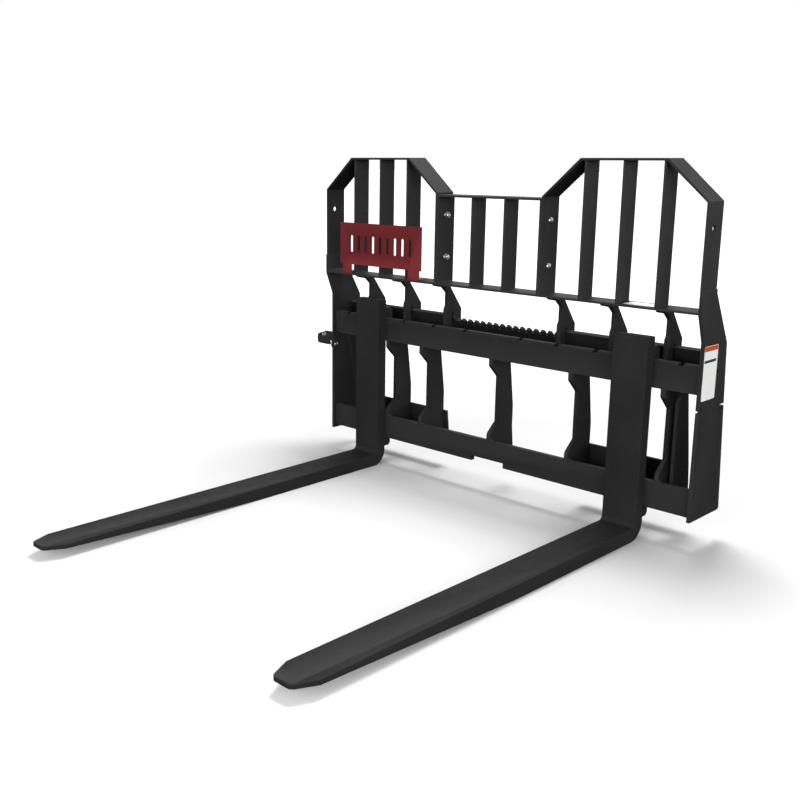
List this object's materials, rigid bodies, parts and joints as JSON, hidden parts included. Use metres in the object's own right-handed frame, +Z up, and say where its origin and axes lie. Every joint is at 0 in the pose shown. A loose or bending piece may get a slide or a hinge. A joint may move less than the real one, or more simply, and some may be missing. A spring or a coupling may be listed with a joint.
{
  "type": "pallet fork attachment",
  "caption": "Skid steer pallet fork frame with a bolted guard, a quick attach back and sliding hook type forks held by latch pins.",
  "frame": {"origin": "middle plane of the frame, on the front face of the rails, at the level that the forks rest on", "axes": "+X along the rails, to the right as seen from the forks' side; the forks point to -Y; +Z up"},
  "size_m": [1.4205, 1.4065, 1.012],
  "materials": {
    "frame_paint": "satin black powder coat",
    "fork_paint": "satin black paint on forged steel",
    "red_paint": "satin dark red powder coat",
    "zinc_fasteners": "bright zinc plating",
    "spring_steel": "oiled spring wire"
  },
  "bodies": {
    "frame": {"top_rail": "frame_paint", "bottom_rail": "frame_paint", "end_plate_left": "frame_paint", "end_plate_right": "frame_paint", "rib_far_left": "frame_paint", "rib_outer_left": "frame_paint", "rib_inner_left": "frame_paint", "rib_middle": "frame_paint", "rib_inner_right": "frame_paint", "rib_outer_right": "frame_paint", "rib_far_right": "frame_paint", "arm_outer_left": "frame_paint", "arm_middle_left": "frame_paint", "arm_inner_left": "frame_paint", "arm_inner_right": "frame_paint", "arm_middle_right": "frame_paint", "arm_outer_right": "frame_paint", "upper_lip_left": "frame_paint", "upper_lip_right": "frame_paint", "lower_plate_left": "frame_paint", "lower_plate_right": "frame_paint", "step_plate": "frame_paint", "guard_frame_left": "frame_paint", "guard_frame_right": "frame_paint", "guard_sill_left": "frame_paint", "guard_sill_right": "frame_paint", "guard_bars_left": "frame_paint", "guard_bars_right": "frame_paint", "mid_end_bars": "frame_paint", "mid_top_bar": "frame_paint", "mid_sill": "frame_paint", "mid_bars": "frame_paint", "guard_bolts": "zinc_fasteners", "guard_nuts": "zinc_fasteners", "guard_washers": "zinc_fasteners", "name_plate": "red_paint", "name_plate_bolts": "zinc_fasteners", "hose_bracket": "frame_paint", "hose_bracket_bolts": "zinc_fasteners", "hose_bracket_nuts": "zinc_fasteners"},
    "fork_left": {"tine_left": "fork_paint", "upper_hook_left": "frame_paint", "lower_hook_left": "frame_paint", "latch_cap_left": "zinc_fasteners", "latch_spring_left": "spring_steel"},
    "fork_right": {"tine_right": "fork_paint", "upper_hook_right": "frame_paint", "lower_hook_right": "frame_paint", "latch_cap_right": "zinc_fasteners", "latch_spring_right": "spring_steel"},
    "pin_left": {"latch_pin_left": "zinc_fasteners"},
    "pin_right": {"latch_pin_right": "zinc_fasteners"}
  },
  "joints": [
    {"name": "fork_slide_left", "type": "slide", "parent": "frame", "child": "fork_left", "axis": [1, 0, 0], "range_m": [-0.126, 0.378]},
    {"name": "pin_drop_left", "type": "slide", "parent": "fork_left", "child": "pin_left", "axis": [0, 0, -1], "range_m": [0, 0.0078]},
    {"name": "fork_slide_right", "type": "slide", "parent": "frame", "child": "fork_right", "axis": [1, 0, 0], "range_m": [-0.378, 0.126]},
    {"name": "pin_drop_right", "type": "slide", "parent": "fork_right", "child": "pin_right", "axis": [0, 0, -1], "range_m": [0, 0.0078]}
  ]
}
